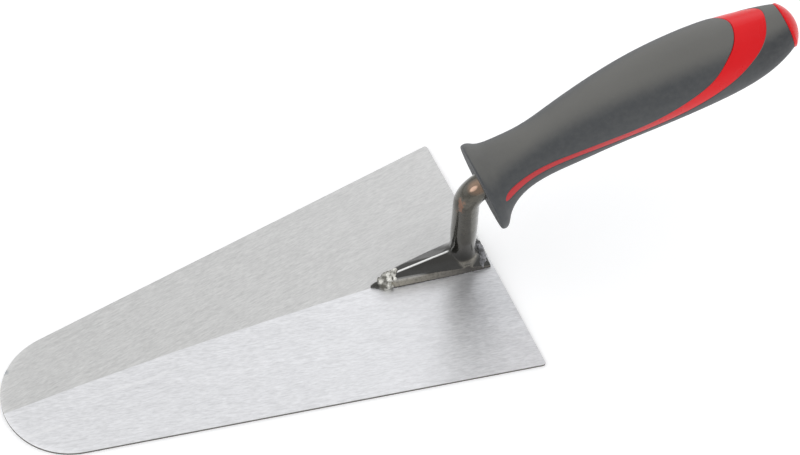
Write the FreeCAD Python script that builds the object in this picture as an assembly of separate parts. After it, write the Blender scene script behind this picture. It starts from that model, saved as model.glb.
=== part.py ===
"""Round-nosed brick trowel with a two-shot soft-grip handle. Millimetres, +Z up.

The origin is on the blade's underside, straight below the axis of the upright neck.
+X runs from the blade's nose back to the handle's butt. The tool is symmetric about
y = 0 but for its hand-laid weld beads and the swoosh, which crosses the handle on the skew.

Each function makes one separate piece of the tool:
  blade        ground steel plate, flat below, two shallow facets that meet in a spine above
  tang         one forging: pointed foot, round upright neck, bend, and tapered tail
  weld_toe     weld bead round the front of the foot
  weld_heel    weld bead between the neck and the blade's heel
  handle_core  hard plastic core, moulded first, with two raised swooshes that show outside
  grip         soft skin moulded over the core, with a finger guard at the front
  end_cap      hard plastic plug with a domed butt
"""

import math
import os

import FreeCAD
import Part
from FreeCAD import Vector

# Blade
BLADE_LENGTH = 200.0
HEEL_WIDTH = 115.0
NOSE_RADIUS = 27.5
HEEL_X = 10.3  # the heel edge is this far behind the neck's axis
SPINE_THICKNESS = 2.4  # at the heel
EDGE_THICKNESS = 1.2
CORNER_RADIUS = 1.2

# Neck and tail of the tang
NECK_RADIUS = 5.2
BEND_RADIUS = 10.0  # of the neck's centre line
HANDLE_TILT = 17.1  # degrees above the blade's plane
FACE_X = 4.9  # where the handle's axis crosses the handle's front face
FACE_Z = 48.6
TAIL_LENGTH = 92.0  # from the handle's front face
TAIL_PARALLEL = 6.0  # the tail keeps the neck's radius for this far
TAIL_TIP_RADIUS = 3.0
TAIL_POINT = 4.0

# Foot of the tang, as (x, half width at the blade, half width and height of the wall's top,
# height of the crest)
FOOT_SECTIONS = [
    (-33.4, 2.4, 1.4, 5.2, 6.2),
    (-31.0, 3.2, 2.2, 6.4, 7.4),
    (-25.5, 4.2, 3.2, 6.7, 8.0),
    (-11.0, 6.1, 5.6, 6.3, 9.8),
    (-2.0, 7.5, 7.1, 5.3, 11.0),
    (9.4, 8.8, 8.3, 3.2, 4.4),
]
NECK_FLARE = [(5.2, 14.0), (5.75, 8.8), (7.2, 5.6)]  # (radius, height) down the root of the neck
NECK_DROP = 1.4  # the tail's axis runs this far below the handle's

# Handle, measured from its front face along its axis: (distance, top, bottom, half width)
HANDLE_LENGTH = 131.0
HANDLE_STATIONS = [
    (0.0, 16.6, -22.6, 17.0),
    (2.2, 16.6, -22.8, 17.2),
    (5.0, 14.9, -18.2, 15.3),
    (9.0, 14.6, -13.2, 13.1),
    (14.0, 14.9, -10.2, 11.8),
    (23.0, 15.4, -8.7, 10.9),
    (36.0, 17.4, -8.7, 11.9),
    (52.0, 20.0, -9.3, 13.4),
    (70.0, 21.0, -11.0, 14.9),
    (88.0, 20.0, -13.4, 15.4),
    (104.0, 17.2, -15.0, 14.9),
    (117.0, 13.3, -14.7, 13.3),
    (126.0, 10.7, -12.5, 11.1),
    (131.0, 9.2, -10.2, 9.2),
]
RIM_ROUND = 0.9
SKIN_LIP = 0.4  # rounding of the skin's edge beside the swoosh and the cap
CAP_LIP = 0.3
SWOOSH_RECESS = 0.15  # the swoosh lies this far below the skin
SKIN = 1.8  # thickness of the soft skin
CORE_FRONT = 3.0  # the core starts this far behind the front face

# Edge of the swoosh in side view, as (distance along the handle, height above its axis):
# forward under it from the butt, round its tip, and back over it
SWOOSH_EDGE = [
    (124.9, 14.0),
    (124.9, 11.2),
    (122.3, 8.9),
    (116.4, 6.6),
    (108.2, 4.2),
    (100.0, 2.6),
    (90.0, 1.4),
    (80.0, 1.2),
    (69.0, 1.7),
    (55.0, 2.6),
    (41.0, 4.0),
    (28.0, 3.9),
    (18.0, 3.1),
    (12.6, 2.2),
    (11.1, 2.3),
    (10.2, 3.2),
    (10.7, 4.4),
    (12.8, 5.4),
    (17.6, 6.1),
    (27.0, 6.4),
    (40.0, 6.4),
    (52.0, 5.9),
    (63.0, 5.2),
    (74.0, 5.2),
    (84.0, 6.1),
    (94.0, 7.7),
    (101.5, 9.9),
    (107.6, 12.8),
    (111.5, 14.6),
    (113.4, 17.6),
]
SWOOSH_LEAN = 0.33  # it crosses the handle on the skew, this far back for each millimetre of +Y
SWOOSH_REACH = 30.0  # past the handle's side and top

# End cap
CAP_RISE = 5.0
SPIGOT_RADIUS = 5.5
SPIGOT_LENGTH = 14.0
SPIGOT_RELIEF = 2.0  # air left at the bottom of the spigot's pocket

# Weld beads, as (x, y, z, radius)
TOE_BEAD = [
    (-35.4, 0.1, 2.8, 1.7),
    (-34.0, -1.1, 3.2, 2.0),
    (-33.2, 1.0, 3.6, 2.3),
    (-31.9, -2.3, 4.0, 1.9),
    (-31.3, 1.6, 4.8, 2.2),
    (-30.8, -1.0, 5.8, 1.9),
    (-29.0, 0.5, 6.8, 1.8),
]
TOE_POINT = (-38.8, 0.7, 2.5)
TOE_POINT_RADIUS = 0.3
HEEL_BEAD = [
    (5.9, -6.2, 3.6, 1.6),
    (6.5, -4.4, 4.1, 2.0),
    (6.9, -2.3, 4.6, 2.2),
    (7.1, 0.1, 4.8, 2.2),
    (6.9, 2.4, 4.6, 2.2),
    (6.4, 4.5, 4.1, 2.0),
    (5.8, 6.2, 3.6, 1.6),
]

NOSE_X = HEEL_X - BLADE_LENGTH
TILT = math.radians(HANDLE_TILT)
HANDLE_AXIS = Vector(math.cos(TILT), 0, math.sin(TILT))
HANDLE_UP = Vector(-math.sin(TILT), 0, math.cos(TILT))
FACE_CENTRE = Vector(FACE_X, 0, FACE_Z)
HANDLE_PLACE = FreeCAD.Placement(FACE_CENTRE, FreeCAD.Rotation(Vector(0, 1, 0), -HANDLE_TILT))


def side_angle():
    """Angle between the blade's long edge and its centre line."""
    to_nose_centre = BLADE_LENGTH - NOSE_RADIUS
    reach = math.hypot(to_nose_centre, HEEL_WIDTH / 2)
    return math.atan2(HEEL_WIDTH / 2, to_nose_centre) - math.asin(NOSE_RADIUS / reach)


def blade_outline():
    """The heel edge, two long edges and the round nose that they run into."""
    angle = side_angle()
    centre_x = NOSE_X + NOSE_RADIUS
    tangent_x = centre_x - NOSE_RADIUS * math.sin(angle)
    tangent_y = NOSE_RADIUS * math.cos(angle)
    left_heel = Vector(HEEL_X, HEEL_WIDTH / 2, 0)
    right_heel = Vector(HEEL_X, -HEEL_WIDTH / 2, 0)
    left_tangent = Vector(tangent_x, tangent_y, 0)
    right_tangent = Vector(tangent_x, -tangent_y, 0)
    return Part.Wire([
        Part.makeLine(left_heel, left_tangent),
        Part.Arc(left_tangent, Vector(NOSE_X, 0, 0), right_tangent).toShape(),
        Part.makeLine(right_tangent, right_heel),
        Part.makeLine(right_heel, left_heel),
    ])


def above_facet(side):
    """A block over the ground facet on one side. The facet holds the long edge and the spine's heel end."""
    angle = side_angle()
    apex_x = HEEL_X - HEEL_WIDTH / 2 / math.tan(angle)
    apex = Vector(apex_x, 0, EDGE_THICKNESS)
    spine = Vector(HEEL_X, 0, SPINE_THICKNESS) - apex
    edge = Vector(HEEL_X, side * HEEL_WIDTH / 2, EDGE_THICKNESS) - apex
    beyond = 1.2
    corners = [apex, apex + spine * beyond, apex + edge * beyond * 1.2, apex]
    return Part.Face(Part.makePolygon(corners)).extrude(Vector(0, 0, 10))


def make_blade():
    plate = Part.Face(blade_outline()).extrude(Vector(0, 0, SPINE_THICKNESS + 1))
    corners = [e for e in plate.Edges if len(e.Vertexes) == 2 and is_heel_corner(e)]
    plate = plate.makeFillet(CORNER_RADIUS, corners)
    return plate.cut(above_facet(1)).cut(above_facet(-1))


def is_heel_corner(edge):
    low, high = (v.Point for v in edge.Vertexes)
    upright = abs(low.x - high.x) < 1e-6 and abs(low.y - high.y) < 1e-6
    return upright and abs(low.x - HEEL_X) < 1e-6


def foot_section(x, base, shoulder, wall, crest):
    points = [
        Vector(x, -base, 0),
        Vector(x, -shoulder, wall),
        Vector(x, 0, crest),
        Vector(x, shoulder, wall),
        Vector(x, base, 0),
    ]
    return Part.makePolygon(points + points[:1])


def neck_path():
    """Centre line: up from the foot, round the bend, and on into the handle."""
    turn = math.radians(90 - HANDLE_TILT)
    bend_end_x = BEND_RADIUS * (1 - math.cos(turn))
    face = FACE_CENTRE - HANDLE_UP * NECK_DROP
    bend_end_z = face.z + (bend_end_x - face.x) * math.tan(TILT)
    bend_start_z = bend_end_z - BEND_RADIUS * math.sin(turn)
    middle = Vector(
        BEND_RADIUS * (1 - math.cos(turn / 2)), 0, bend_start_z + BEND_RADIUS * math.sin(turn / 2)
    )
    start = Vector(0, 0, SPINE_THICKNESS)
    bend_start = Vector(0, 0, bend_start_z)
    bend_end = Vector(bend_end_x, 0, bend_end_z)
    parallel_end = face + HANDLE_AXIS * TAIL_PARALLEL
    path = Part.Wire([
        Part.makeLine(start, bend_start),
        Part.Arc(bend_start, middle, bend_end).toShape(),
        Part.makeLine(bend_end, parallel_end),
    ])
    return path, start, parallel_end


def neck_flare():
    """Solid of revolution that spreads the neck's root out into the foot's roof."""
    top, middle, bottom = (Vector(r, 0, z) for r, z in NECK_FLARE)
    floor = SPINE_THICKNESS + 1
    profile = Part.Wire([
        Part.Arc(top, middle, bottom).toShape(),
        Part.makeLine(bottom, Vector(bottom.x, 0, floor)),
        Part.makeLine(Vector(bottom.x, 0, floor), Vector(0, 0, floor)),
        Part.makeLine(Vector(0, 0, floor), Vector(0, 0, top.z)),
        Part.makeLine(Vector(0, 0, top.z), top),
    ])
    return Part.Face(profile).revolve(Vector(0, 0, 0), Vector(0, 0, 1), 360)


def make_tang(blade):
    path, start, parallel_end = neck_path()
    circle = Part.Wire(Part.makeCircle(NECK_RADIUS, start, Vector(0, 0, 1)))
    neck = path.makePipeShell([circle], True, False)
    taper = TAIL_LENGTH - TAIL_POINT - TAIL_PARALLEL
    tail = Part.makeCone(NECK_RADIUS, TAIL_TIP_RADIUS, taper, parallel_end, HANDLE_AXIS)
    tip = parallel_end + HANDLE_AXIS * taper
    point = Part.makeCone(TAIL_TIP_RADIUS, 0, TAIL_POINT, tip, HANDLE_AXIS)
    foot = Part.makeLoft([foot_section(*s) for s in FOOT_SECTIONS], True, True)
    forging = foot.fuse([neck_flare(), neck, tail, point]).removeSplitter()
    return forging.cut(blade)


def below_blade():
    """A block under the blade's floor plane, reaching well past the tang on every side."""
    return Part.makeBox(200, 100, 20, Vector(-100, -50, -20))


def largest(shape):
    """The biggest solid of a cut, without the crumbs that the cut leaves."""
    return max(shape.Solids, key=lambda solid: solid.Volume)


def bead(lumps):
    balls = [Part.makeSphere(r, Vector(x, y, z)) for x, y, z, r in lumps]
    return balls[0].fuse(balls[1:])


def make_weld_toe(blade, tang):
    point = Vector(*TOE_POINT)
    x, y, z, radius = TOE_BEAD[0]
    reach = Vector(x, y, z) - point
    spike = Part.makeCone(TOE_POINT_RADIUS, radius, reach.Length, point, reach)
    return largest(bead(TOE_BEAD).fuse(spike).cut(below_blade()).cut(blade).cut(tang))


def make_weld_heel(blade, tang):
    return largest(bead(HEEL_BEAD).cut(below_blade()).cut(blade).cut(tang))


def handle_section(station, shrink):
    """Ellipse across the handle at one station, shrunk all round by a wall thickness."""
    distance, top, bottom, half_width = station
    centre = Vector(distance, 0, (top + bottom) / 2)
    half_height = (top - bottom) / 2 - shrink
    half_width = half_width - shrink
    across = Vector(0, 1, 0)
    upward = Vector(0, 0, 1)
    if half_height > half_width:
        ellipse = Part.Ellipse(centre + upward * half_height, centre + across * half_width, centre)
    else:
        ellipse = Part.Ellipse(centre + across * half_width, centre + upward * half_height, centre)
    return Part.Wire(ellipse.toShape())


def handle_body(shrink, start):
    """The handle's outer form, or the same form shrunk and started further back, in its own axes."""
    stations = [s for s in HANDLE_STATIONS if s[0] >= start]
    return Part.makeLoft([handle_section(s, shrink) for s in stations], True, False)


def swoosh_prism():
    """Side-view swoosh carried right across the handle."""
    points = [Vector(x, 0, z) for x, z in SWOOSH_EDGE]
    edge = Part.BSplineCurve()
    edge.interpolate(points)
    back, front = points[0], points[-1]
    lift = Vector(3, 0, SWOOSH_REACH)
    wire = Part.Wire([
        edge.toShape(),
        Part.makeLine(front, front + lift),
        Part.makeLine(front + lift, back + lift),
        Part.makeLine(back + lift, back),
    ])
    face = Part.Face(wire)
    reach = Vector(SWOOSH_LEAN * SWOOSH_REACH, SWOOSH_REACH, 0)
    face.translate(-reach)
    return face.extrude(reach * 2)


def along_handle(shape):
    shape.Placement = HANDLE_PLACE.multiply(shape.Placement)
    return shape


def spigot(length):
    start = Vector(HANDLE_LENGTH, 0, 0)
    return Part.makeCylinder(SPIGOT_RADIUS, length, start, Vector(-1, 0, 0))


def soften_border(shape, prism, radius):
    """Rounds the edges that the swoosh's side walls leave on the handle's surface."""
    walls = prism.Shells[0]
    edges = []
    for edge in shape.Edges:
        middle = edge.valueAt((edge.FirstParameter + edge.LastParameter) / 2)
        outside = abs(middle.y) > CORE_FRONT
        if outside and walls.distToShape(Part.Vertex(middle))[0] < 1e-3:
            edges.append(edge)
    return shape.makeFillet(radius, edges)


def make_handle(tang):
    outer = handle_body(0, 0)
    front = [e for e in outer.Edges if e.BoundBox.XMax < 0.01]
    outer = outer.makeFillet(RIM_ROUND, front)
    back = [e for e in outer.Edges if e.BoundBox.XMin > HANDLE_LENGTH - 0.01]
    outer = outer.makeFillet(SKIN_LIP, back)
    prism = swoosh_prism()
    skin = soften_border(outer.cut(prism), prism, SKIN_LIP)
    land = handle_body(SWOOSH_RECESS, 0).common(prism)
    inner = handle_body(SKIN, CORE_FRONT)
    core = inner.fuse(land).cut(spigot(SPIGOT_LENGTH + SPIGOT_RELIEF))
    grip = skin.cut(inner).cut(spigot(SPIGOT_LENGTH))
    return along_handle(core).cut(tang), along_handle(grip).cut(tang)


def make_end_cap():
    last = HANDLE_STATIONS[-1]
    centre = Vector(HANDLE_LENGTH, 0, (last[1] + last[2]) / 2)
    base = handle_section(last, 0)
    disc = Part.Face(base).extrude(Vector(CAP_RISE, 0, 0))
    rim = [e for e in disc.Edges if e.BoundBox.XMax < HANDLE_LENGTH + 0.01]
    disc = disc.makeFillet(CAP_LIP, rim)
    dome_radius = (last[3] ** 2 + CAP_RISE**2) / (2 * CAP_RISE)
    ball = Part.makeSphere(dome_radius + 2, centre + Vector(CAP_RISE - dome_radius - 2, 0, 0))
    return along_handle(disc.common(ball).fuse(spigot(SPIGOT_LENGTH)))


def main():
    os.makedirs("parts", exist_ok=True)
    blade = make_blade()
    tang = make_tang(blade)
    weld_toe = make_weld_toe(blade, tang)
    weld_heel = make_weld_heel(blade, tang)
    core, grip = make_handle(tang)
    pieces = {
        "blade": blade,
        "tang": tang,
        "weld_toe": weld_toe,
        "weld_heel": weld_heel,
        "handle_core": core,
        "grip": grip,
        "end_cap": make_end_cap(),
    }
    for name, shape in pieces.items():
        shape.exportStep(f"parts/{name}.step")
        box = shape.BoundBox
        print(name, len(shape.Solids), shape.isValid(), round(shape.Volume), [round(v, 1) for v in (
            box.XMin, box.XMax, box.YMin, box.YMax, box.ZMin, box.ZMax)])


main()
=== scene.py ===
"""Looks for the round-nosed brick trowel: materials, detailed tang and weld beads, camera and studio."""

import math

import bmesh
import bpy
import numpy as np
from mathutils import Matrix, Vector, noise


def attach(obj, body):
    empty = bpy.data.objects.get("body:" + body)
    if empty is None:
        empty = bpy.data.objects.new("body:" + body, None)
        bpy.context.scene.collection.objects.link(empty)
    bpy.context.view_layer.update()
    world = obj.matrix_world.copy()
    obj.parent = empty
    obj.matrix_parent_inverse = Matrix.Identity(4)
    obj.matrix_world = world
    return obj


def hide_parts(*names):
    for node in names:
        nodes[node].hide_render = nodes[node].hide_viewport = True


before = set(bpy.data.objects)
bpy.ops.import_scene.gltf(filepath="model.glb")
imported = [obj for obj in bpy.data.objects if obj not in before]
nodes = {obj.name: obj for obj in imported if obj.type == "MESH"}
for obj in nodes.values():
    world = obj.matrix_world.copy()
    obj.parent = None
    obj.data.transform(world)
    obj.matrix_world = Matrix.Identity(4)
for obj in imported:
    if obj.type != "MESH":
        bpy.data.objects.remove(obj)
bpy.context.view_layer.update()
MM = 0.001

# ---------------------------------------------------------------- helpers


def new_object(name, mesh):
    obj = bpy.data.objects.new(name, mesh)
    bpy.context.scene.collection.objects.link(obj)
    return obj


def shade_smooth(mesh):
    for polygon in mesh.polygons:
        polygon.use_smooth = True


def apply_modifiers(obj):
    """Bakes an object's modifiers into its own mesh."""
    graph = bpy.context.evaluated_depsgraph_get()
    graph.update()
    mesh = bpy.data.meshes.new_from_object(obj.evaluated_get(graph))
    old = obj.data
    obj.modifiers.clear()
    obj.data = mesh
    bpy.data.meshes.remove(old)


def assign(obj, material):
    obj.data.materials.clear()
    obj.data.materials.append(material)


# ---------------------------------------------------------------- materials


class Graph:
    """Short names for building one node material on a Principled shader."""

    def __init__(self, name, **shader):
        self.material = bpy.data.materials.new(name)
        self.material.use_nodes = True
        self.tree = self.material.node_tree
        self.shader = self.tree.nodes["Principled BSDF"]
        for key, value in shader.items():
            self.shader.inputs[key.replace("_", " ")].default_value = value

    def node(self, kind, **settings):
        made = self.tree.nodes.new(kind)
        for key, value in settings.items():
            setattr(made, key, value)
        return made

    def link(self, source, target):
        self.tree.links.new(source, target)

    def feed(self, socket, value):
        if isinstance(value, bpy.types.NodeSocket):
            self.link(value, socket)
        else:
            socket.default_value = value

    def coords(self):
        return self.node("ShaderNodeTexCoord").outputs["Object"]

    def split(self, vector):
        made = self.node("ShaderNodeSeparateXYZ")
        self.link(vector, made.inputs[0])
        return made.outputs

    def math(self, operation, a, b=0.0, c=0.0, clamp=False):
        made = self.node("ShaderNodeMath", operation=operation, use_clamp=clamp)
        for socket, value in zip(made.inputs, (a, b, c)):
            self.feed(socket, value)
        return made.outputs[0]

    def mapping(self, vector, rotation=(0, 0, 0), scale=(1, 1, 1), location=(0, 0, 0)):
        made = self.node("ShaderNodeMapping")
        self.link(vector, made.inputs["Vector"])
        made.inputs["Rotation"].default_value = rotation
        made.inputs["Scale"].default_value = scale
        made.inputs["Location"].default_value = location
        return made.outputs[0]

    def noise(self, vector, scale, detail=2.0, roughness=0.5):
        made = self.node("ShaderNodeTexNoise")
        self.link(vector, made.inputs["Vector"])
        made.inputs["Scale"].default_value = scale
        made.inputs["Detail"].default_value = detail
        made.inputs["Roughness"].default_value = roughness
        return made.outputs["Fac"]

    def span(self, value, low, high, to_low=0.0, to_high=1.0, smooth=False):
        made = self.node("ShaderNodeMapRange")
        made.interpolation_type = "SMOOTHSTEP" if smooth else "LINEAR"
        self.feed(made.inputs["Value"], value)
        for key, number in (("From Min", low), ("From Max", high), ("To Min", to_low), ("To Max", to_high)):
            self.feed(made.inputs[key], number)
        return made.outputs[0]

    def mix(self, factor, a, b):
        """Colour mix."""
        made = self.node("ShaderNodeMix", data_type="RGBA")
        self.feed(made.inputs["Factor"], factor)
        self.feed(made.inputs[6], a)
        self.feed(made.inputs[7], b)
        return made.outputs[2]

    def blend(self, factor, a, b):
        """Number mix."""
        made = self.node("ShaderNodeMix", data_type="FLOAT")
        self.feed(made.inputs[0], factor)
        self.feed(made.inputs[2], a)
        self.feed(made.inputs[3], b)
        return made.outputs[0]

    def bump(self, height, distance, strength=1.0, below=None):
        made = self.node("ShaderNodeBump")
        self.link(height, made.inputs["Height"])
        made.inputs["Distance"].default_value = distance
        made.inputs["Strength"].default_value = strength
        if below is not None:
            self.link(below, made.inputs["Normal"])
        return made.outputs[0]

    def finish(self, **sockets):
        for key, value in sockets.items():
            self.link(value, self.shader.inputs[key.replace("_", " ")])
        return self.material


GRAIN_ANGLES = (math.radians(-11.5), math.radians(10.5))  # on the -Y and +Y halves of the blade


def grey(value):
    return (value, value, value, 1.0)


def blade_steel():
    """Belt-brushed steel whose grain leans outwards on each side of a faintly bowed spine."""
    g = Graph("blade_steel", Metallic=1.0, Anisotropic=0.65)
    position = g.coords()
    x, y, z = g.split(position)
    # The two grinds meet on a line that bows to the left by under 2 mm.
    along = g.math("ADD", x, 0.112)
    bow = g.math("MULTIPLY_ADD", g.math("MULTIPLY", along, along), -0.28, 0.0016)
    wander = g.math("MULTIPLY_ADD", g.noise(g.mapping(position, scale=(60, 0, 0)), 1.0), 0.0005, -0.00025)
    side = g.span(g.math("SUBTRACT", y, g.math("ADD", bow, wander)), -0.00015, 0.00015)
    # The flat underside is one grind from edge to edge.
    facing = g.split(g.node("ShaderNodeTexCoord").outputs["Normal"])[2]
    side = g.math("MULTIPLY", side, g.span(facing, -0.6, -0.4))
    grains = []
    for angle in GRAIN_ANGLES:
        turned = g.mapping(position, rotation=(0, 0, -angle))
        fine = g.noise(g.mapping(turned, scale=(420, 2000, 2000)), 1.0, 2.0, 0.6)
        broad = g.noise(g.mapping(turned, scale=(150, 800, 800)), 1.0, 2.0, 0.5)
        grains.append((fine, broad))
    fine = g.blend(side, grains[0][0], grains[1][0])
    broad = g.blend(side, grains[0][1], grains[1][1])
    cloud = g.noise(position, 60.0, 3.0, 0.6)
    # The far (+Y) half gets a darker base colour than the near half: painted shade for its dimmer
    # reflection.
    base = g.mix(side, (0.81, 0.81, 0.82, 1), (0.665, 0.662, 0.650, 1))
    streak = g.math("MULTIPLY", g.math("SUBTRACT", fine, 0.5), 0.52)
    streak = g.math("MULTIPLY_ADD", g.math("SUBTRACT", broad, 0.5), 0.24, streak)
    tone = g.math("MULTIPLY_ADD", g.math("SUBTRACT", cloud, 0.5), 0.08, g.math("ADD", streak, 1.0))
    # The nose is brighter along its rim.
    nose = g.node("ShaderNodeVectorMath", operation="DISTANCE")
    g.link(g.mapping(position, scale=(1, 1, 0)), nose.inputs[0])
    nose.inputs[1].default_value = (-0.1622, 0, 0)
    nose_rim = g.math("MULTIPLY", g.span(nose.outputs["Value"], 0.0245, 0.0272), g.span(x, -0.165, -0.175))
    tone = g.math("MULTIPLY_ADD", nose_rim, 0.10, tone)
    scaled = g.node("ShaderNodeVectorMath", operation="SCALE")
    g.link(base, scaled.inputs[0])
    g.link(tone, scaled.inputs["Scale"])
    # A few stray scratches across the grain.
    crossing = g.mapping(position, rotation=(0, 0, math.radians(38)), scale=(9, 420, 420))
    scratch = g.span(g.noise(crossing, 1.0, 1.0), 0.735, 0.76)
    colour = g.mix(g.math("MULTIPLY", scratch, 0.35), scaled.outputs[0], grey(0.92))
    # Faint stain near the nose.
    stain_at = g.node("ShaderNodeVectorMath", operation="DISTANCE")
    g.link(g.mapping(position, scale=(1, 1.6, 1)), stain_at.inputs[0])
    stain_at.inputs[1].default_value = (-0.1835, 0.0175 * 1.6, 0.0015)
    ripple = g.math("SUBTRACT", g.noise(position, 900.0), 0.5)
    ragged = g.math("MULTIPLY_ADD", ripple, 0.003, stain_at.outputs["Value"])
    stain = g.span(ragged, 0.0005, 0.0022, 0.55, 0.0)
    colour = g.mix(stain, colour, (0.25, 0.29, 0.33, 1))
    # The sheared sides get painted shade, darker than the ground top.
    edge_shade = g.span(g.math("ABSOLUTE", facing), 0.25, 0.65, 1.0, 0.0)
    colour = g.mix(edge_shade, colour, (0.16, 0.15, 0.14, 1))
    rough = g.math("MULTIPLY_ADD", cloud, 0.05, g.span(fine, 0.3, 0.7, 0.36, 0.48))
    normal = g.bump(fine, 0.00003, 0.35, g.bump(broad, 0.00006, 0.25))
    across = [Vector((-math.sin(a), math.cos(a), 0)) for a in GRAIN_ANGLES]
    tangent = g.node("ShaderNodeMix", data_type="VECTOR")
    g.link(side, tangent.inputs["Factor"])
    tangent.inputs[4].default_value = across[0]
    tangent.inputs[5].default_value = across[1]
    return g.finish(Base_Color=colour, Roughness=rough, Normal=normal, Tangent=tangent.outputs[1])


def ellipsoid(g, position, centre, radii):
    """1 at the centre, falling to 0 at the radii, in millimetres."""
    offset = g.mapping(
        position,
        scale=[1000 / r for r in radii],
        location=[-c / r for c, r in zip(centre, radii)],
    )
    length = g.node("ShaderNodeVectorMath", operation="LENGTH")
    g.link(offset, length.inputs[0])
    return g.math("SUBTRACT", 1.0, length.outputs["Value"], clamp=True)


def forged_steel():
    """Forging: low flanks lightened by a painted reflection of the blade, dark scale on the foot's roof,
    painted edge highlights, heat tint with a painted reflection on the bend.
    """
    g = Graph("forged_steel", Metallic=1.0, Coat_Weight=0.85, Coat_IOR=1.6, Coat_Roughness=0.09)
    position = g.coords()
    x, y, z = g.split(position)
    cloud = g.noise(position, 130.0, 4.0, 0.6)
    fine = g.noise(position, 900.0, 3.0, 0.6)
    facing = g.split(g.node("ShaderNodeTexCoord").outputs["Normal"])
    base = g.mix(cloud, (0.036, 0.032, 0.023, 1), (0.105, 0.097, 0.074, 1))
    # Low side walls get a light warm grey: a painted reflection of the bright blade beside them.
    flank_reflection = g.mix(cloud, (0.32, 0.297, 0.245, 1), (0.58, 0.54, 0.455, 1))
    upright = g.span(facing[2], 0.55, 0.35)
    base = g.mix(g.math("MULTIPLY", g.span(z, 0.0085, 0.0070), upright), base, flank_reflection)
    # Scale on the roof, and a little way up the front of the neck.
    up = g.span(facing[2], 0.30, 0.62, smooth=True)
    low = g.span(z, 0.0165, 0.0095, smooth=True)
    root = g.math("MULTIPLY", low, g.span(x, 0.004, -0.002, 0.0, 1.0))
    climbing = g.math("MULTIPLY", root, g.span(z, 0.0075, 0.0095))
    scale = g.math("MULTIPLY", low, g.math("MAXIMUM", up, climbing))
    base = g.mix(scale, base, g.mix(cloud, (0.012, 0.012, 0.011, 1), (0.05, 0.049, 0.045, 1)))
    # Darker in the neck's lower front, and a mottle all over.
    low_front_dark = g.math("MULTIPLY", g.span(z, 0.026, 0.010, smooth=True), g.span(x, 0.004, -0.001))
    low_front_dark = g.math("MULTIPLY", low_front_dark, g.math("MULTIPLY", g.span(z, 0.0075, 0.0085), 0.7))
    mottle = g.math("MULTIPLY", g.span(fine, 0.48, 0.62), 0.40)
    base = g.mix(g.math("MAXIMUM", low_front_dark, mottle), base, (0.016, 0.014, 0.010, 1))
    # Sides of the foot go darker towards the heel, and painted shade darkens a thin band round the foot's
    # base on the blade.
    wall = g.math("MULTIPLY", g.span(z, 0.0078, 0.0070), g.span(x, -0.026, 0.000, 0.0, 0.90))
    wall = g.math("MULTIPLY", wall, g.span(facing[2], 0.5, 0.3))
    wall = g.math("MAXIMUM", wall, g.span(z, 0.0031, 0.0027))
    base = g.mix(wall, base, (0.045, 0.04, 0.035, 1))
    # Painted highlights along the crest, and along the tops of the side walls towards the toe.
    middle = g.span(g.math("ABSOLUTE", y), 0.00022, 0.00050, 1.0, 0.0)
    crest = g.math("MULTIPLY", middle, g.span(x, -0.0058, -0.0068))
    crest = g.math("MULTIPLY", crest, g.span(z, 0.0068, 0.0074))
    wall_top = g.math("MULTIPLY_ADD", g.math("ADD", x, 0.0255), 0.159, 0.0032)
    beside = g.math("ABSOLUTE", g.math("SUBTRACT", g.math("ABSOLUTE", y), wall_top))
    shoulder = g.math("MULTIPLY", g.span(beside, 0.00025, 0.00060, 1.0, 0.0), g.span(x, -0.0165, -0.0205))
    shoulder = g.math("MULTIPLY", shoulder, g.math("MULTIPLY", g.span(z, 0.0052, 0.0058), 0.25))
    edge_highlight = g.math("MAXIMUM", crest, shoulder)
    base = g.mix(edge_highlight, base, (0.95, 0.95, 0.93, 1))
    # A brown stain on the neck; on the bend, heat tint carrying a painted golden reflection and a brighter
    # painted streak.
    patch = g.span(ellipsoid(g, position, (-4.2, -2.4, 42.0), (3.0, 2.6, 5.0)), 0.0, 0.35)
    broken = g.span(g.noise(position, 400.0, 2.0), 0.42, 0.58)
    base = g.mix(g.math("MULTIPLY", patch, g.math("MULTIPLY", broken, 0.7)), base, (0.30, 0.145, 0.085, 1))
    bend_tint_reflection = g.span(ellipsoid(g, position, (2.4, -2.4, 50.6), (5.5, 3.6, 3.4)), 0.0, 0.5)
    base = g.mix(g.math("MULTIPLY", bend_tint_reflection, 0.85), base, (0.24, 0.15, 0.095, 1))
    streak = g.span(ellipsoid(g, position, (1.3, -2.2, 50.0), (2.6, 0.9, 1.6)), 0.0, 0.4)
    base = g.mix(g.math("MULTIPLY", streak, 0.8), base, (0.80, 0.52, 0.38, 1))
    rough = g.math("ADD", g.span(cloud, 0.3, 0.7, 0.20, 0.32), g.math("MULTIPLY", edge_highlight, 0.30))
    normal = g.bump(fine, 0.00004, 0.5, g.bump(cloud, 0.0003, 0.3))
    return g.finish(Base_Color=base, Roughness=rough, Normal=normal)


def weld_metal():
    """Granular bead: bright spatter at the toe, duller at the heel, black where it thins out at the toe's
    tip, painted shade over the back of the heel bead.
    """
    g = Graph("weld_metal", Metallic=1.0)
    position = g.coords()
    x, y, z = g.split(position)
    speck = g.noise(position, 1500.0, 4.0, 0.7)
    cloud = g.noise(position, 350.0, 2.0)
    bright = g.mix(g.span(cloud, 0.38, 0.60), (0.16, 0.155, 0.135, 1), (0.85, 0.84, 0.78, 1))
    dull = g.mix(g.span(cloud, 0.40, 0.66), (0.14, 0.14, 0.145, 1), (0.50, 0.50, 0.53, 1))
    base = g.mix(g.span(x, -0.01, 0.0), bright, dull)
    at_tip = g.span(x, -0.0352, -0.0364)
    # Painted shade over the far, rear part of the heel bead.
    heel_back_shade = g.math("MULTIPLY", g.span(y, -0.0002, 0.0020), g.span(x, 0.0, 0.002))
    darkened = g.math("MAXIMUM", at_tip, heel_back_shade)
    base = g.mix(g.math("MULTIPLY", darkened, 0.9), base, (0.05, 0.05, 0.047, 1))
    rough = g.span(speck, 0.3, 0.7, 0.22, 0.45)
    normal = g.bump(speck, 0.0002, 0.8, g.bump(cloud, 0.0004, 0.6))
    return g.finish(Base_Color=base, Roughness=rough, Normal=normal)


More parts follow.
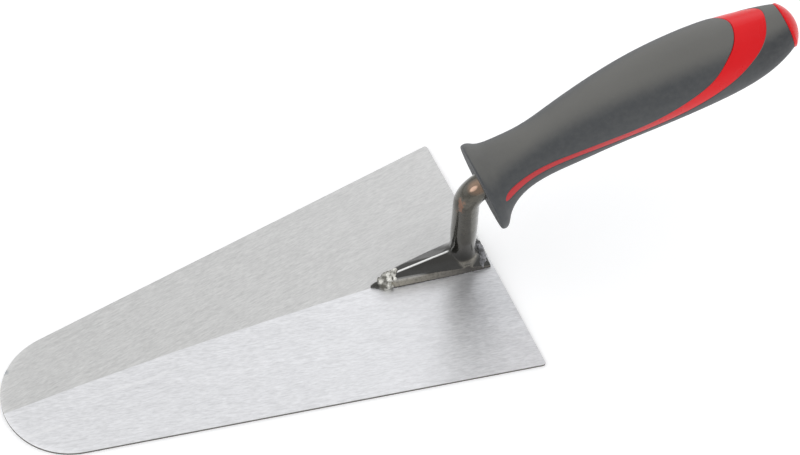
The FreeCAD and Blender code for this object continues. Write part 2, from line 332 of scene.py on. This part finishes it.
def soft_plastic():
    """Charcoal soft-touch skin: fine spark-eroded grain, lighter where it faces up from a dusting and
    painted light from above.
    """
    g = Graph("grey_soft_plastic", Specular_IOR_Level=0.35)
    position = g.coords()
    x = g.split(position)[0]
    facing = g.split(g.node("ShaderNodeTexCoord").outputs["Normal"])
    cloud = g.noise(position, 45.0, 3.0, 0.5)
    mottle = g.noise(position, 420.0, 3.0, 0.6)
    grain = g.noise(position, 3200.0, 2.0, 0.6)
    clean = g.mix(cloud, (0.056, 0.060, 0.064, 1), (0.070, 0.074, 0.078, 1))
    clean = g.mix(g.span(x, 0.098, 0.116), clean, (0.046, 0.049, 0.053, 1))
    # Upward faces get a lighter colour: a dusting together with painted light from above.
    dusty_and_lit = g.mix(cloud, (0.132, 0.130, 0.120, 1), (0.156, 0.154, 0.143, 1))
    dust_and_top_light = g.math("MULTIPLY", g.span(facing[2], 0.62, 0.93, smooth=True), g.span(x, 0.006, 0.022, 0.75, 1.0))
    base = g.mix(dust_and_top_light, clean, dusty_and_lit)
    base = g.mix(g.math("MULTIPLY", g.span(mottle, 0.35, 0.7), 0.16), base, (0.155, 0.155, 0.148, 1))
    rough = g.math("MULTIPLY_ADD", grain, 0.08, g.span(cloud, 0.3, 0.7, 0.46, 0.54))
    normal = g.bump(grain, 0.00005, 0.45, g.bump(mottle, 0.00012, 0.25))
    return g.finish(Base_Color=base, Roughness=rough, Normal=normal)


def red_plastic():
    g = Graph("red_plastic", Specular_IOR_Level=0.25)
    position = g.coords()
    cloud = g.noise(position, 90.0, 3.0, 0.5)
    ripple = g.noise(position, 500.0, 2.0, 0.5)
    base = g.mix(cloud, (0.70, 0.003, 0.007, 1), (0.82, 0.007, 0.012, 1))
    # The swoosh's narrow end is duller.
    darkened = g.math("MULTIPLY", g.span(g.split(position)[0], 0.095, 0.055), 0.7)
    base = g.mix(darkened, base, (0.44, 0.045, 0.052, 1))
    rough = g.span(cloud, 0.3, 0.7, 0.24, 0.34)
    normal = g.bump(ripple, 0.0001, 0.25)
    return g.finish(Base_Color=base, Roughness=rough, Normal=normal)


blade_material = blade_steel()
forged_material = forged_steel()
weld_material = weld_metal()
grip_material = soft_plastic()
red_material = red_plastic()

for name, material in (
    ("blade", blade_material),
    ("tang", forged_material),
    ("weld_toe", weld_material),
    ("weld_heel", weld_material),
    ("grip", grip_material),
    ("handle_core", red_material),
    ("end_cap", red_material),
):
    assign(nodes[name], material)

# ---------------------------------------------------------------- blade

EDGE_BREAK = 0.18 * MM
INSIDE_BOX = 0.9999  # keeps the bevelled blade within the CAD box


def make_blade():
    """The plate, with its cut edges very slightly rounded over."""
    mesh = bmesh.new()
    mesh.from_mesh(nodes["blade"].data)
    mesh.transform(nodes["blade"].matrix_world)
    bmesh.ops.remove_doubles(mesh, verts=mesh.verts, dist=1e-6)
    bmesh.ops.dissolve_limit(mesh, angle_limit=math.radians(0.4), verts=mesh.verts, edges=mesh.edges)
    corners = [e for e in mesh.edges if len(e.link_faces) == 2 and e.calc_face_angle() > math.radians(40)]
    bmesh.ops.bevel(mesh, geom=corners, offset=EDGE_BREAK, segments=3, profile=0.5, affect="EDGES")
    bmesh.ops.scale(mesh, vec=(1, INSIDE_BOX, 1), verts=mesh.verts)
    for edge in mesh.edges:
        on_spine = all(abs(v.co.y) < 0.01 * MM for v in edge.verts)
        edge.smooth = not on_spine
    data = bpy.data.meshes.new("ground_plate")
    mesh.to_mesh(data)
    mesh.free()
    shade_smooth(data)
    blade = new_object("ground_plate", data)
    modifier = blade.modifiers.new("normals", "WEIGHTED_NORMAL")
    modifier.keep_sharp = True
    modifier.weight = 100
    apply_modifiers(blade)
    assign(blade, blade_material)
    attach(blade, "root")
    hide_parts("blade")


# ---------------------------------------------------------------- tang, in millimetres

TILT = math.radians(17.1)
HANDLE_AXIS = Vector((math.cos(TILT), 0, math.sin(TILT)))
NECK_RADIUS = 5.2
BEND_RADIUS = 10.0
NECK_FACE = Vector((4.9, 0, 48.6)) - Vector((-math.sin(TILT), 0, math.cos(TILT))) * 1.4
# (x, half width at the blade, half width and height of the wall's top, height of the crest)
FOOT_SECTIONS = [
    (-32.8, 2.2, 1.2, 4.6, 5.4),
    (-31.4, 3.1, 2.0, 6.1, 6.9),
    (-29.0, 3.7, 2.7, 6.7, 7.7),
    (-25.5, 4.2, 3.3, 6.8, 8.15),
    (-11.0, 6.15, 5.6, 6.3, 9.8),
    (-2.0, 7.5, 7.05, 5.3, 11.0),
    (3.0, 8.05, 7.6, 4.6, 8.2),
    (9.2, 8.6, 8.2, 3.3, 4.5),
]


def closed_rings(mesh, rings):
    """Skins a list of vertex rings and closes both ends."""
    loops = [[mesh.verts.new(p) for p in ring] for ring in rings]
    count = len(loops[0])
    for low, high in zip(loops, loops[1:]):
        for i in range(count):
            j = (i + 1) % count
            mesh.faces.new((low[i], low[j], high[j], high[i]))
    mesh.faces.new(loops[0][::-1])
    mesh.faces.new(loops[-1])


def circle(centre, along, radius, count=64):
    side = Vector((0, 1, 0))
    other = along.cross(side)
    turns = [2 * math.pi * i / count for i in range(count)]
    return [centre + (side * math.cos(t) + other * math.sin(t)) * radius for t in turns]


def neck_rings():
    turn = math.pi / 2 - TILT
    end_x = BEND_RADIUS * (1 - math.cos(turn))
    end_z = NECK_FACE.z + (end_x - NECK_FACE.x) * math.tan(TILT)
    start_z = end_z - BEND_RADIUS * math.sin(turn)
    up = Vector((0, 0, 1))
    rings = [circle(Vector((0, 0, z)), up, NECK_RADIUS) for z in (3.0, 8.0, 16.0, 26.0, start_z)]
    steps = 14
    for i in range(1, steps + 1):
        a = turn * i / steps
        centre = Vector((BEND_RADIUS * (1 - math.cos(a)), 0, start_z + BEND_RADIUS * math.sin(a)))
        rings.append(circle(centre, Vector((math.sin(a), 0, math.cos(a))), NECK_RADIUS))
    for distance, radius in ((6.0, 5.2), (30.0, 4.5), (60.0, 3.7), (88.0, 3.0), (91.5, 0.5)):
        rings.append(circle(NECK_FACE + HANDLE_AXIS * distance, HANDLE_AXIS, radius))
    return rings


def foot_rings():
    rings = []
    for x, base, shoulder, wall, crest in FOOT_SECTIONS:
        corners = [(-base, 2.0), (base, 2.0), (shoulder, wall), (0.0, crest), (-shoulder, wall)]
        rings.append([Vector((x, y, z)) for y, z in corners])
    return rings


def flare_rings():
    """The neck's root, spreading into the foot's roof."""
    profile = [(5.15, 15.0), (5.3, 12.2), (5.6, 9.6), (6.1, 7.7), (6.9, 6.2), (7.2, 5.4), (7.2, 3.4)]
    return [circle(Vector((0, 0, z)), Vector((0, 0, -1)), r) for r, z in profile]


def relax(mesh, rounds, keep):
    """Smooths a mesh. keep(position) says how much of each vertex's place stays."""
    count = len(mesh.vertices)
    places = np.empty(count * 3)
    mesh.vertices.foreach_get("co", places)
    places = places.reshape(-1, 3)
    ends = np.empty(len(mesh.edges) * 2, dtype=np.int64)
    mesh.edges.foreach_get("vertices", ends)
    ends = ends.reshape(-1, 2)
    degree = np.bincount(ends.ravel(), minlength=count)[:, None]
    hold = keep(places)[:, None]
    for _ in range(rounds):
        total = np.zeros_like(places)
        np.add.at(total, ends[:, 0], places[ends[:, 1]])
        np.add.at(total, ends[:, 1], places[ends[:, 0]])
        places = hold * places + (1 - hold) * total / degree
    mesh.vertices.foreach_set("co", places.ravel())
    mesh.update()


def roughen(mesh, layers, limit=None):
    """Moves each vertex along its normal by layers of noise: (wavelength, height), in metres."""
    moved = []
    for vertex in mesh.vertices:
        push = sum(height * noise.noise(vertex.co / wave) for wave, height in layers)
        moved.append(vertex.co + vertex.normal * push)
    for vertex, place in zip(mesh.vertices, moved):
        vertex.co = place
    mesh.update()


def remeshed(name, mesh, voxel):
    """One skin round the union of a mesh's closed shells."""
    obj = new_object(name, mesh)
    modifier = obj.modifiers.new("skin", "REMESH")
    modifier.mode = "VOXEL"
    modifier.voxel_size = voxel
    apply_modifiers(obj)
    return obj


def scaled_mesh(name, builder):
    mesh = bmesh.new()
    builder(mesh)
    bmesh.ops.scale(mesh, vec=(MM, MM, MM), verts=mesh.verts)
    bmesh.ops.recalc_face_normals(mesh, faces=mesh.faces)
    data = bpy.data.meshes.new(name)
    mesh.to_mesh(data)
    mesh.free()
    return data


def flatten_below(mesh, height):
    for vertex in mesh.vertices:
        vertex.co.z = max(vertex.co.z, height)
    mesh.update()


def make_tang():
    def build(mesh):
        closed_rings(mesh, neck_rings())
        closed_rings(mesh, foot_rings())
        closed_rings(mesh, flare_rings())

    tang = remeshed("tang_forging", scaled_mesh("tang_forging", build), 0.28 * MM)

    def keep(places):
        """Corners stay; the root of the neck melts into the roof, except along its crest."""
        x, y, z = (places / MM).T
        from_axis = np.hypot(x, y)
        root = np.clip((from_axis - 4.4) / 0.6, 0, 1) * np.clip((13.0 - from_axis) / 5.0, 0, 1)
        root *= np.clip((z - 4.6) / 1.2, 0, 1) * np.clip((18.0 - z) / 6.0, 0, 1)
        shoulder = np.interp(x, [s[0] for s in FOOT_SECTIONS], [s[2] for s in FOOT_SECTIONS])
        root *= np.clip((shoulder - 0.4 - np.abs(y)) / 1.2, 0, 1)
        root *= np.where(x < -5.2, np.clip((np.abs(y) - 0.3) / 1.0, 0, 1), 1)
        return 0.985 - 0.97 * root

    relax(tang.data, 160, keep)
    roughen(tang.data, ((0.009, 0.00012), (0.003, 0.00003)))
    shade_smooth(tang.data)
    assign(tang, forged_material)
    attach(tang, "root")
    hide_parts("tang")


# ---------------------------------------------------------------- welds

WELD_FLOOR = 1.9 * MM  # just inside the blade, so no bead shows a gap

def ball(mesh, x, y, z, radius):
    made = bmesh.ops.create_icosphere(mesh, subdivisions=3, radius=radius)
    bmesh.ops.translate(mesh, vec=(x, y, z), verts=made["verts"])


def make_weld(name, node, lumps):
    def build(mesh):
        for lump in lumps:
            ball(mesh, *lump)

    weld = remeshed(name, scaled_mesh(name, build), 0.16 * MM)
    relax(weld.data, 2, lambda places: np.full(len(places), 0.4))
    roughen(weld.data, ((0.0016, 0.00035), (0.0006, 0.00016)))
    flatten_below(weld.data, WELD_FLOOR)
    shade_smooth(weld.data)
    assign(weld, weld_material)
    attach(weld, "root")
    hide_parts(node)


# Overlapping balls, as (x, y, z, radius) in millimetres
TOE_LUMPS = [
    (-38.2, 0.6, 2.5, 0.7),
    (-37.4, 0.5, 2.7, 1.0),
    (-36.5, 0.3, 2.8, 1.3),
    (-35.5, 0.1, 2.9, 1.6),
    (-34.6, -0.9, 3.2, 1.7),
    (-34.2, 1.1, 3.4, 1.7),
    (-33.3, -1.9, 3.4, 1.6),
    (-33.0, 0.2, 4.4, 1.9),
    (-32.2, 1.9, 4.2, 1.7),
    (-31.9, -2.6, 3.9, 1.4),
    (-31.6, -0.7, 5.4, 1.7),
    (-30.9, 1.2, 5.6, 1.8),
    (-29.6, 0.2, 6.7, 1.6),
    (-28.6, 0.9, 7.0, 1.5),
    (-29.6, -1.6, 6.2, 0.9),
    (-33.9, -2.6, 2.7, 0.8),
]
HEEL_LUMPS = [
    (5.6, -6.6, 3.4, 1.4),
    (6.3, -5.2, 3.9, 1.8),
    (6.8, -3.6, 4.3, 2.0),
    (7.1, -1.8, 4.7, 2.1),
    (7.3, 0.1, 4.8, 2.1),
    (7.1, 2.0, 4.7, 2.1),
    (6.7, 3.7, 4.3, 2.0),
    (6.2, 5.2, 3.9, 1.8),
    (5.6, 6.5, 3.4, 1.4),
    (8.2, -4.6, 3.2, 1.0),
    (8.4, 1.4, 3.6, 0.9),
]

make_blade()
make_tang()
make_weld("toe_bead", "weld_toe", TOE_LUMPS)
make_weld("heel_bead", "weld_heel", HEEL_LUMPS)

# ---------------------------------------------------------------- studio


def area_light(name, at, target, size, power, colour=(1, 1, 1)):
    data = bpy.data.lights.new(name, "AREA")
    data.shape = "RECTANGLE"
    data.size, data.size_y = size
    data.energy = power
    data.color = colour
    lamp = new_object(name, data)
    lamp.location = at
    lamp.rotation_euler = (Vector(target) - Vector(at)).to_track_quat("-Z", "Y").to_euler()


def make_camera():
    data = bpy.data.cameras.new("camera")
    data.sensor_width = 36.0
    data.lens = 117.0
    data.clip_start = 0.01
    data.clip_end = 20.0
    camera = new_object("camera", data)
    right = Vector((0.9160453, -0.3995915, 0.0344614))
    up = Vector((0.3054558, 0.7507564, 0.5857146))
    back = right.cross(up)
    rotation = Matrix((right, up, back)).transposed().to_4x4()
    camera.matrix_world = Matrix.Translation((-0.28618, -0.52285, 0.84220)) @ rotation
    bpy.context.scene.camera = camera


def make_floor():
    mesh = bpy.data.meshes.new("floor")
    grid = bmesh.new()
    bmesh.ops.create_grid(grid, x_segments=1, y_segments=1, size=3.0)
    grid.to_mesh(mesh)
    grid.free()
    floor = new_object("floor", mesh)
    g = Graph("floor_paper", Roughness=0.85, Emission_Color=(1, 1, 1, 1), Emission_Strength=0.3)
    tone = g.noise(g.coords(), 6.0, 2.0)
    assign(floor, g.finish(Base_Color=g.mix(tone, grey(0.86), grey(0.88))))


def make_world():
    world = bpy.data.worlds.new("studio")
    bpy.context.scene.world = world
    world.use_nodes = True
    background = world.node_tree.nodes["Background"]
    background.inputs["Color"].default_value = (0.985, 0.99, 1.0, 1)
    background.inputs["Strength"].default_value = 0.76


make_camera()
make_floor()
make_world()
AIM = (-0.05, 0.0, 0.0)
area_light("back_strip", (1.15, 2.2, 1.45), (-0.03, -0.02, 0.0), (0.75, 1.6), 5.0, (0.96, 0.985, 1.04))
area_light("back_softbox", (-1.2, 1.8, 1.35), AIM, (4.0, 2.4), 4.0, (0.975, 0.99, 1.02))
area_light("left_softbox", (-1.6, 0.6, 1.35), AIM, (3.2, 2.4), 8.0, (0.975, 0.99, 1.02))
area_light("right_softbox", (1.8, 0.4, 1.3), AIM, (2.6, 2.2), 4.0)
area_light("top_softbox", (-0.1, 0.3, 2.2), AIM, (2.4, 2.4), 2.5, (0.985, 0.995, 1.01))
bpy.context.scene.view_settings.view_transform = "Standard"
